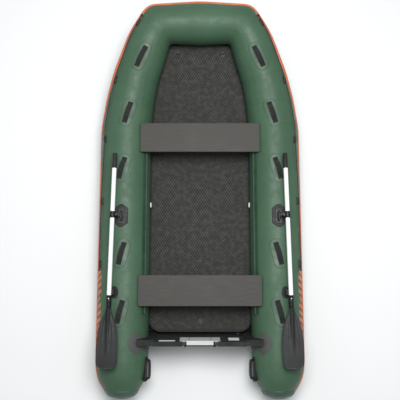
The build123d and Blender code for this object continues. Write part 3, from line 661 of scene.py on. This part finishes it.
def stitchTree():
    # short threads set along the sewing lines
    tree = bpy.data.node_groups.new("stitching", "GeometryNodeTree")
    face = tree.interface
    face.new_socket("Geometry", in_out="OUTPUT", socket_type="NodeSocketGeometry")
    face.new_socket("Geometry", in_out="INPUT", socket_type="NodeSocketGeometry")
    for name, value in handle["stitching"].items():
        face.new_socket(name, in_out="INPUT", socket_type="NodeSocketFloat").default_value = value
    face.new_socket("Thread", in_out="INPUT", socket_type="NodeSocketMaterial")
    kinds = {"start": "NodeGroupInput", "curve": "GeometryNodeMeshToCurve", "resample": "GeometryNodeResampleCurve",
             "tangent": "GeometryNodeInputTangent", "align": "FunctionNodeAlignRotationToVector",
             "thread": "GeometryNodeMeshUVSphere", "halve": "ShaderNodeMath", "size": "ShaderNodeCombineXYZ",
             "place": "GeometryNodeInstanceOnPoints", "realize": "GeometryNodeRealizeInstances",
             "finish": "GeometryNodeSetMaterial", "end": "NodeGroupOutput"}
    made = {name: tree.nodes.new(kind) for name, kind in kinds.items()}
    made["resample"].mode, made["align"].axis, made["halve"].operation = "LENGTH", "Z", "MULTIPLY"
    made["halve"].inputs[1].default_value = 0.5
    for key, value in (("Segments", 6), ("Rings", 5), ("Radius", 1)):
        made["thread"].inputs[key].default_value = value
    for source, output, target, entry in (
            ("start", "Geometry", "curve", 0), ("curve", 0, "resample", "Curve"),
            ("start", "Stitch Spacing", "resample", "Length"), ("resample", 0, "place", "Points"),
            ("thread", "Mesh", "place", "Instance"), ("tangent", 0, "align", "Vector"),
            ("align", 0, "place", "Rotation"), ("start", "Stitch Length", "halve", 0),
            ("start", "Thread Radius", "size", 0), ("start", "Thread Radius", "size", 1),
            ("halve", 0, "size", 2), ("size", 0, "place", "Scale"), ("place", 0, "realize", 0),
            ("realize", 0, "finish", 0), ("start", "Thread", "finish", "Material"), ("finish", 0, "end", 0)):
        tree.links.new(made[source].outputs[output], made[target].inputs[entry])
    return tree


def sewn(name, loops, tree):
    # sewing lines as loose edges, turned into threads
    verts, edges = [], []
    for loop in loops:
        base = len(verts)
        verts += [tuple(p) for p in loop]
        edges += [(base + k, base + k + 1) for k in range(len(loop) - 1)]
    guide = inScene("sewingLines", bpy.data.meshes.new("sewingLines"))
    guide.data.from_pydata(verts, edges, [])
    modifier = guide.modifiers.new("stitching", "NODES")
    modifier.node_group = tree
    for item in tree.interface.items_tree:
        if item.name == "Thread" and item.in_out == "INPUT":
            modifier[item.identifier] = finishes["holder"]
    data = meshOf(guide)
    bpy.data.objects.remove(guide)
    data.name = name
    return settle(inScene(name, data))


def sewingLoops(spot, side):
    # a crossed box at each end of a strap
    top = handle["seat"] + 0.0017
    half, w = handle["length"] / 2, handle["width"] / 2 - 0.005
    loops = []
    for end in (-1, 1):
        a, b = end * (half - 0.003), end * (half - handle["sewn"] + 0.002)
        box = [(a, -w), (b, -w), (b, w), (a, w), (a, -w), (b, w), (b, -w), (a, w)]
        loops.append([spot.flat(x, y, top) * (side, 1, 1) for x, y in box])
    return loops


loops = []
patches, straps = [], []
for place, (y, angle, turn) in enumerate(handle["places"], 1):
    spot = Spot(y, angle, turn)
    for sideName, side in sides:
        patches.append(handlePatch(f"handlePatch{place}_{sideName}", spot, side))
        straps.append(strapHandle(f"strap{place}_{sideName}", spot, side))
        loops += sewingLoops(spot, side)
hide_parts("handle_patches")
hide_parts("handle_straps")
sewn("strapStitches", loops, stitchTree())
print("handles sewn on")

lifeline = {"diameter": 0.008, "length": 1.993, "around": 18, "step": 0.0028, "lay": 0.034,
            "holders": [(1.262, 46), (0.881, 44.5), (0.421, 40), (-0.056, 33), (-0.531, 31.5)],
            "holderSize": (0.062, 0.030), "humpHeight": 0.0145,
            "points": [(.454, 1.363, .475), (.506, 1.277, .462), (.559, 1.169, .434), (.593, 1.077, .411),
                       (.624, .997, .392), (.648, .925, .377), (.668, .851, .361), (.696, .751, .336),
                       (.713, .656, .328), (.729, .557, .322), (.733, .460, .323), (.733, .393, .323),
                       (.736, .294, .318), (.741, .192, .310), (.746, .089, .304), (.748, -.010, .303),
                       (.748, -.095, .303), (.750, -.202, .297), (.752, -.316, .293), (.752, -.418, .294),
                       (.751, -.496, .298), (.751, -.562, .299)]}


def routeLine(side):
    # the rope's own smooth line
    data = bpy.data.curves.new("ropeRoute", "CURVE")
    data.dimensions = "3D"
    data.resolution_u = 24
    spline = data.splines.new("NURBS")
    spline.points.add(len(lifeline["points"]) - 1)
    for point, (x, y, z) in zip(spline.points, lifeline["points"]):
        point.co = (x * side, y, z, 1)
    spline.order_u = 3
    spline.use_endpoint_u = True
    carrier = inScene("ropeRoute", data)
    points = np.array([v.co for v in meshOf(carrier).vertices], float)
    bpy.data.objects.remove(carrier)
    return points


def rope(sideName, side):
    # three twisted strands
    route = routeLine(side)
    whole = distances(route)[-1]
    line = spread(route, round(whole / lifeline["step"]))
    at = np.linspace(0, whole, len(line))
    n, r = lifeline["around"], lifeline["diameter"] / 2
    rows = []
    turns = np.arange(n) * tau / n
    for p, s, a, u in zip(line, at, *axesAlong(line, (0, 0, 1))):
        bulge = r * (0.90 + 0.10 * np.abs(np.cos(1.5 * (turns - tau * s / lifeline["lay"]))))
        rows.append(p + np.outer(np.cos(turns) * bulge, a) + np.outer(np.sin(turns) * bulge, u))
    verts, faces = capped(rows)
    uv = [(t * r, s) for s in at for t in turns] + [(0, 0), (0, at[-1])]
    piece = orient(addMesh(f"sideRope_{sideName}", verts, faces, finishes["rope"], uv=uv))
    return settle(piece, node=f"lifeline_{sideName}"), line


def stopperKnot(name, end, before):
    # overhand knot: the rope wound on itself outside the last holder
    away = unit(end - before)
    first = unit(np.cross(away, (0, 0, 1)))
    second = np.cross(away, first)
    t = np.linspace(0, tau * 2, 90)
    swing = 0.0045 + 0.0012 * np.cos(1.5 * t)
    line = np.array([end + away * (0.003 + 0.006 * (k / tau)) + first * (s * cos(k)) + second * (s * sin(k))
                     for k, s in zip(t, swing)])
    turns = np.arange(12) * tau / 12
    verts, faces = capped([p + 0.0036 * (np.outer(np.cos(turns), a) + np.outer(np.sin(turns), u))
                           for p, a, u in zip(line, *axesAlong(line, away))])
    piece = orient(addMesh(name, verts, faces, finishes["rope"], uv=np.zeros((len(verts), 2)) + 0.001))
    return settle(piece)


def ropeHolder(name, spot, side):
    length, width = lifeline["holderSize"]

    def height(x, y, edge):
        base = softEdge(edge, 0.003)
        ends = max(0, min(1, (0.0215 - abs(x)) / 0.004))
        arch = sqrt(max(0, 1 - (y / 0.0118) ** 2)) * (lifeline["humpHeight"] - 0.003)
        hump = ends * ends * (3 - 2 * ends) * arch
        rib = 0.0006 * (exp(-((abs(x) - 0.007) / 0.002) ** 2)) * (hump > 0.004)
        return 0.0003 + base + hump + rib

    return bonded(name, spot, roundedOutline(length, width, 0.0138), height, "holder", side,
                  ringsIn=22)


knots, holders = [], []
for sideName, side in sides:
    piece, line = rope(sideName, side)
    ends = [stopperKnot(f"knot_{sideName}_bow", line[0], line[3]),
            stopperKnot(f"knot_{sideName}_stern", line[-1], line[-4])]
    knots += ends
    for place, (y, angle) in enumerate(lifeline["holders"], 1):
        holders.append(ropeHolder(f"ropeHolder{place}_{sideName}", Spot(y, angle), side))
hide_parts("rope_knots")
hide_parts("rope_holders")
print("lifelines rove")


# floor
floor = {"top": 0.140, "thickness": 0.055, "rear": -1.032, "cornerRadius": 0.095, "frontRise": 0.125,
         "frontGap": 0.100, "clear": 0.0015, "columns": 96, "rowStep": 0.010,
         "rearRows": (0, 0.0015, 0.004, 0.008, 0.014, 0.022, 0.032, 0.045, 0.06, 0.078, 0.095)}
riseStart, floorFront = centers[4][1], bowY - floor["frontGap"]


def deckHeight(y):
    # level aft, then a soft curve up to the bow, straight between the tube joints
    knots = [centers[k][1] for k in range(4, 8)] + [floorFront + 0.06]
    rise = [floor["frontRise"] * (max(0, k - riseStart) / (floorFront - riseStart)) ** 2 for k in knots]
    return floor["top"] + float(np.interp(y, knots, rise)) if y > riseStart else floor["top"]


def clearHalf(y, z):
    # how far the deck reaches before it meets the tube
    lo, hi = 0.0, 0.6
    if insideHull(0.0, y, z):
        return 0.0
    for _ in range(22):
        mid = (lo + hi) / 2
        if insideHull(mid, y, z):
            hi = mid
        else:
            lo = mid
    return lo


segmentStart, segmentEnd = centers[2:-1], centers[3:]
segmentRadii = list(zip(radiusAt[2:-1], radiusAt[3:]))


def insideHull(x, y, z):
    # true within the tubes, which are cones between the joints
    p = np.array((x, y, z))
    for a, b, (ra, rb) in zip(segmentStart, segmentEnd, segmentRadii):
        d = b - a
        share = min(1, max(0, float((p - a) @ d / (d @ d))))
        if np.linalg.norm(p - a - d * share) < ra + (rb - ra) * share + floor["clear"]:
            return True
    return False


def airDeck():
    front = floorFront
    while insideHull(0, front, deckHeight(front)):
        front -= 0.002
    ys = [floor["rear"] + k for k in floor["rearRows"]]
    ys += [*np.arange(ys[-1] + floor["rowStep"], front - 0.004, floor["rowStep"]), front - 0.002, front]
    shares = np.linspace(-1, 1, floor["columns"])
    shares = np.sign(shares) * (1 - (1 - np.abs(shares)) ** 1.25)
    top, low, edges = [], [], []
    for y in ys:
        z = deckHeight(y)
        half = clearHalf(y, z)
        short = y - floor["rear"]
        if short < floor["cornerRadius"]:
            r = floor["cornerRadius"]
            half -= r - sqrt(r * r - (r - short) ** 2)
        for s in shares:
            edge = min(half * (1 - abs(s)), short, front - y)
            crown = 0.004 * (1 - exp(-edge / 0.010)) - 0.004
            top.append((s * half, y, z + crown))
            low.append((s * half, y, z - floor["thickness"] * 0.6))
            edges.append(edge)
    rows, columns = len(ys), len(shares)
    count = rows * columns
    faces = lattice(rows, columns, round=False)
    faces += [tuple(count + i for i in face) for face in faces]
    border = [*range(columns)] + [r * columns + columns - 1 for r in range(1, rows)]
    border += [(rows - 1) * columns + c for c in range(columns - 2, -1, -1)]
    border += [r * columns for r in range(rows - 2, 0, -1)]
    for a, b in zip(border, border[1:] + border[:1]):
        faces.append((a, b, count + b, count + a))
    piece = orient(addMesh("airDeck", top + low, faces, finishes["deck"], values={"edge": edges + edges}))
    return settle(piece, node="air_deck")


airDeck()
print("deck laid")


# tail fittings
stern = {"handleY": -1.296, "handleAngle": 162, "length": 0.165, "lift": 0.026, "bar": (0.028, 0.014),
         "boltRadius": 0.0055, "plate": (0.178, 0.044, 0.012), "plateHeight": 0.006}


def sternCap(sideName, side):
    # moulded dome with a rolled rim and a shallow ring
    r, depth = hull["capRadius"], hull["capLength"]
    profile = [(0, 0.004), (r - 0.004, 0.004), (r + 0.0005, 0.0035), (r + 0.0022, 0.0015),
               (r + 0.0022, -0.004), (r + 0.0006, -0.0065), (r, -0.009)]
    for k in range(1, 19):
        a = radians(8 + 82 * k / 18)
        groove = -0.0012 * exp(-((k - 9) / 0.8) ** 2)
        profile.append((max(0, (r + groove) * cos(a)), -(depth + groove) * sin(a)))
    piece = lathe(f"sternCap_{sideName}", profile, (sideX, sternY + depth, hull["sideRadius"]), (0, 1, 0),
                  finishes["cap"], 80, side)
    return settle(piece)


def sternHandle(sideName, side):
    # moulded grip with two bolted feet
    seamY = centers[2][1] + 0.001
    spot, base = Spot(seamY, stern["handleAngle"]), Spot(seamY, stern["handleAngle"])
    middle = stern["handleY"] - seamY
    half, lift = stern["length"] / 2 - 0.013, stern["lift"]
    foot = [(half, -0.030), (half, 0.006), (half - 0.004, lift - 0.006), (half - 0.018, lift + 0.0005)]
    line = smoothLine([(-x, z) for x, z in foot] + [(0, lift + 0.001)] + foot[::-1], 120)
    points = np.array([spot.flat(middle + x, 0, z) for x, z in line])
    rows = sweepAlong(points, roundedBar(stern["bar"][0], stern["bar"][1], 0.0045, 4), spot.y)
    piece = orient(addMesh(f"sternHandle_{sideName}", *capped(rows), finishes["plastic"], side))
    settle(piece)
    base.origin = base.origin + base.x * middle
    base.radius = hull["sideRadius"]

    def height(x, y, edge):
        return softEdge(edge, stern["plateHeight"])

    length, width, corner = stern["plate"]
    bonded(f"handleBase_{sideName}", base, roundedOutline(length, width, corner), height, "plastic", side,
           base=-0.014)
    for end, x in (("aft", -half + 0.020), ("fore", half - 0.020)):
        r = stern["boltRadius"]
        dome = [(0, -0.003), (r, -0.003), (r, 0.0004), (r * 0.9, 0.0014), (r * 0.6, 0.0022), (0.0012, 0.0024),
                (0, 0.0012)]
        bolt = lathe(f"handleBolt_{sideName}_{end}", dome, spot.flat(middle + x, 0, lift + 0.0065), spot.z,
                     finishes["steel"], 24, side)
        settle(bolt)
    return piece


caps = [sternCap(*s) for s in sides]
grips = [sternHandle(*s) for s in sides]
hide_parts("stern_caps")
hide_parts("stern_handles")

# oarlocks, oars
oar = {"pinX": 0.612, "x": 0.642, "y": -0.180, "height": 0.452, "yaw": 1.1, "gripFront": 0.464,
       "gripLength": 0.116, "gripRadius": 0.0185, "bladeStart": 0.586, "bladeEnd": 1.105, "plate": 0.003}


def onOar(x, y, z):
    # from beside the pin, forward positive, to the stowed place
    a = radians(oar["yaw"])
    x = x + oar["x"] - oar["pinX"]
    along, aside = x * sin(a) + y * cos(a), x * cos(a) - y * sin(a)
    return np.array((oar["pinX"] + aside, oar["y"] + along, oar["height"] + z))


def oarPiece(name, profile, sideName, side, finish, around=48):
    # turned round the shaft: profile is (radius, distance forward of the pin)
    axis = onOar(0, 1, 0) - onOar(0, 0, 0)
    piece = lathe(name, profile, onOar(0, 0, 0), axis, finishes[finish], around, side)
    return settle(piece, f"oar_{sideName}")


def oarGrip(sideName, side):
    front, back = oar["gripFront"], oar["gripFront"] - oar["gripLength"]
    r = oar["gripRadius"]
    profile = [(0, front), (0.010, front - 0.0003), (0.0155, front - 0.002), (0.018, front - 0.005),
               (r, front - 0.010)]
    for k in range(9):
        y = front - 0.016 - k * 0.0105
        profile += [(r, y), (r - 0.0016, y - 0.0016), (r - 0.0016, y - 0.0040), (r, y - 0.0056)]
    profile += [(r, back + 0.002), (r - 0.001, back), (0.0162, back - 0.0001), (0, back)]
    piece = oarPiece(f"oarGrip_{sideName}", profile, sideName, side, "rubber")
    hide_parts(f"oar_grip_{sideName}")


def oarCollars(sideName, side):
    for end, near, way in (("fore", 0.0144, 1), ("aft", -0.0144, -1)):
        shape = [(0.0155, 0), (0.0203, 0), (0.021, 0.0008), (0.021, 0.007), (0.0195, 0.0092), (0.0175, 0.010),
                 (0.0155, 0.010)]
        profile = [(0, near), *[(r, near + way * h) for r, h in shape], (0, near + way * 0.010)]
        piece = oarPiece(f"oarCollar_{sideName}_{end}", profile, sideName, side, "rubber")
        if way > 0:
            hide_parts(f"oar_collars_{sideName}")


def bladeWidth(s):
    # half width along the blade, from the socket's mouth to the tip
    stops = [0.0, 0.10, 0.16, 0.25, 0.38, 0.55, 0.75, 0.90, 0.96, 0.985, 1.0]
    halves = [0.018, 0.019, 0.026, 0.048, 0.066, 0.075, 0.077, 0.0745, 0.068, 0.058, 0.030]
    return float(np.interp(s, stops, halves))


def oarBlade(sideName, side):
    # flat blade, thick rim, centre rib that fades towards the tip
    start, end = -oar["bladeStart"] - 0.055, -oar["bladeEnd"]
    shares = np.r_[np.linspace(0, 0.9, 60), np.linspace(0.91, 1.0, 16)]
    widths = np.convolve(np.pad([bladeWidth(s) for s in shares], 3, "edge"), np.ones(7) / 7, "valid")
    widths[-1] = 0.030
    across = np.linspace(-1, 1, 41)
    rows = []
    for s, half in zip(shares, widths):
        y = start + (end - start) * s
        top, low = [], []
        for k in across:
            x = k * half
            rib = max(0, 0.0135 * (1 - s * 1.25)) * exp(-(x / (0.013 - 0.005 * s)) ** 2)
            gap = min(half * (1 - abs(k)), (1 - s) * (start - end))
            rib += 0.0016 * exp(-((abs(k) - 0.5) / 0.06) ** 2) * min(1, s * 4) * max(0, 1 - s * 1.1)
            rim = 0.0010 * exp(-((gap - 0.0035) / 0.0025) ** 2)
            body = (oar["plate"] - 0.0007) * min(1, (gap / 0.003 + 0.05) ** 0.5)
            top.append(onOar(x, y, body + rib + rim))
            low.append(onOar(x, y, -body - rib - rim))
        rows.append(top + low[::-1])
    piece = orient(addMesh(f"oarBlade_{sideName}", *capped(rows), finishes["blade"], side))
    settle(piece, f"oar_{sideName}", f"oar_blade_{sideName}")
    mouth = -oar["bladeStart"]
    # radius and distance back from the socket's mouth
    socket = [(0, 0.002), (0.0162, 0.002), (0.0162, 0), (0.0195, 0), (0.0205, 0.002), (0.0205, 0.007),
              (0.0195, 0.009), (0.0195, 0.038), (0.0203, 0.040), (0.0203, 0.046), (0.0195, 0.048),
              (0.0192, 0.070), (0.0180, 0.086), (0.013, 0.094), (0, 0.096)]
    profile = [(r, mouth - back) for r, back in socket]
    oarPiece(f"bladeSocket_{sideName}", profile, sideName, side, "plastic")


def snapButton(sideName, side):
    spot = onOar(0, -oar["bladeStart"] - 0.024, 0.014)
    shape = [(0, 0), (0.0042, 0), (0.0042, 0.0056), (0.0036, 0.0068), (0.002, 0.0074), (0, 0.0075)]
    piece = lathe(f"snapButton_{sideName}", shape, spot, (0, 0, 1), finishes["white"], 28, side)
    settle(piece, f"snap_button_{sideName}", f"snap_button_{sideName}")


def oarlockPad(sideName, side):
    half, wide, cut = 0.086, 0.052, 0.030
    corners = [(half, -0.012), (half, 0.012), (half - cut, wide), (cut - half, wide), (-half, 0.012),
               (-half, -0.012), (cut - half, -wide), (half - cut, -wide)]
    outline = spread(corners, 96, closed=True)

    def height(x, y, edge):
        border = 0.0012 * min(1, max(0, (0.0075 - edge) / 0.001))
        return 0.0003 + softEdge(edge, 0.0030, 0.0012) + border * min(1, edge / 0.001)

    return bonded(f"oarlockPad_{sideName}", Spot(-0.174, 87.5), outline, height, "pad", side,
                  ringsIn=20)


def restPad(sideName, side):
    turns = np.arange(72) * tau / 72
    outline = np.stack([0.045 * np.cos(turns), 0.032 * np.sin(turns)], 1)

    def height(x, y, edge):
        return 0.0003 + softEdge(edge, 0.0025) + 0.0006 * exp(-((edge - 0.006) / 0.0015) ** 2)

    return bonded(f"restPad_{sideName}", Spot(-0.742, 76), outline, height, "pad", side)


for sideName, side in sides:
    oarGrip(sideName, side)
    oarCollars(sideName, side)
    oarBlade(sideName, side)
    snapButton(sideName, side)
    restPad(sideName, side)
pads = [oarlockPad(*s) for s in sides]
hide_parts("oarlock_pads")
print("oars stowed")

# transom flaps and plain coloured decor
flap = {"y": -1.110, "diamond": [(.086, .020), (.050, .072), (-.050, .072), (-.086, .020), (-.050, -.030),
                                 (0, -.056), (.050, -.030)]}


def softened(outline, reach=9):
    # rounds an outline's corners
    kernel = np.ones(reach) / reach
    wrapped = np.concatenate([outline[-reach:], outline, outline[:reach]])
    return np.stack([np.convolve(wrapped[:, k], kernel, "same") for k in (0, 1)], 1)[reach:-reach]


def transomFlap(sideName, side):
    def height(x, y, edge):
        return 0.0003 + softEdge(edge, 0.0030, 0.0015) - 0.0007 * exp(-((edge - 0.006) / 0.0012) ** 2)

    leaf = softened(spread(flap["diamond"], 96, closed=True))
    upper = bonded(f"transomFlap_{sideName}", Spot(flap["y"], 122.5), leaf, height, "flap", side,
                   ringsIn=18)
    tall = (hull["sideRadius"] + 0.003) * sin(radians(27))
    strip = spread([(.048, -tall), (.048, tall), (-.048, tall), (-.048, -tall)], 96, closed=True)
    bonded(f"transomStrip_{sideName}", Spot(flap["y"], 178), strip, height, "flap", side,
           ringsIn=18)
    return upper


flaps = [transomFlap(*s) for s in sides]
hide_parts("transom_patches")

decor = {"angle": 26, "start": -0.590, "end": -1.150, "bars": 12, "width": 0.024, "lean": 0.016,
         "reach": 0.040, "thickness": 0.0007}


def decorBars(sideName, side):
    # a row of slanted orange bars along the stern quarter, the first one longest
    step = (decor["end"] - decor["start"]) / (decor["bars"] - 1)
    for number in range(decor["bars"]):
        h, lean = decor["reach"] * (1.0 if number % 4 else 0.6), decor["lean"]
        half = decor["width"] / 2 * (1.5 if number == 0 else 1)
        corners = [(half - lean, -h), (half + lean, h), (lean - half, h), (-half - lean, -h)]
        bonded(f"decorBar{number + 1}_{sideName}", Spot(decor["start"] + number * step, decor["angle"]),
               spread(corners, 40, closed=True), lambda x, y, edge: decor["thickness"], "orange", side,
               base=0.0001, ringsIn=3)


for s in sides:
    decorBars(*s)

# finishes on the pieces whose own shape is right
plain = {
    "ply": ["transom_board"],
    "rubber": ["transom_edging", "transom_holders", "oar_rests", "tow_patch", "deck_rings", "deck_tab"],
    "plastic": ["oarlock_brackets", "oarlock_axles", "deck_valve_cap", "drain_plug", "valve_cap_bow", "motor_pad",
                "seat_fore_hangers", "seat_aft_hangers", "swivel_block_port", "swivel_block_starboard",
                "oar_clamp_port", "oar_clamp_starboard"],
    "holder": ["deck_valve", "drain_valve", "tube_valves"],
    "white": ["label_plates", "valve_cap_port", "valve_cap_starboard"],
    "seat": ["seat_fore", "seat_aft"],
    "track": ["seat_tracks"],
    "bottom": ["bottom_skin", "keel_tube", "bulkheads"],
    "shaft": ["oar_shaft_port", "oar_shaft_starboard"],
    "plate": ["motor_plate"],
    "steel": ["motor_bolts", "tow_ring"],
}
for finish, names in plain.items():
    for name in names:
        nodes[name].data.materials.clear()
        nodes[name].data.materials.append(finishes[finish])
print("finishes on")

# floor, light and camera
studio = {"ground": (0.90, 0.91, 0.91), "span": 30, "sky": 0.42, "key": 250, "fill": 14,
          "camera": (0, -0.913, 5.224), "tilt": 10, "lens": 59.27}
ground = Finish("ground", Roughness=0.9)
ground.color(ground.mix(ground.noise(0.6), studio["ground"], tuple(c * 1.03 for c in studio["ground"])))
corners = [(x * studio["span"], y * studio["span"], -0.0005) for x, y in ((-1, -1), (1, -1), (1, 1), (-1, 1))]
stage = addMesh("ground", corners, [(0, 1, 2, 3)], ground.material)

world = bpy.data.worlds.new("studio")
world.use_nodes = True
world.node_tree.nodes["Background"].inputs[0].default_value = (0.95, 0.97, 1.0, 1)
world.node_tree.nodes["Background"].inputs[1].default_value = studio["sky"]
bpy.context.scene.world = world


def softLight(name, place, target, size, power):
    data = bpy.data.lights.new(name, "AREA")
    data.shape = "RECTANGLE"
    data.size, data.size_y, data.energy = size[0], size[1], power
    lamp = inScene(name, data)
    lamp.location = place
    lamp.rotation_euler = (Vector(target) - Vector(place)).to_track_quat("-Z", "Y").to_euler()


softLight("overhead", (0.3, 0.6, 5.5), (0, 0, 0.2), (2.4, 2.4), studio["key"])
softLight("foreLight", (-2.5, 4.5, 3.0), (0, 0.3, 0.2), (2.5, 2.0), studio["fill"])

cameraData = bpy.data.cameras.new("camera")
cameraData.lens, cameraData.sensor_width = studio["lens"], 36
camera = inScene("camera", cameraData)
camera.location = studio["camera"]
camera.rotation_euler = (radians(studio["tilt"]), 0, 0)
bpy.context.scene.camera = camera
bpy.context.scene.view_settings.view_transform = "Standard"

print("scene ready")
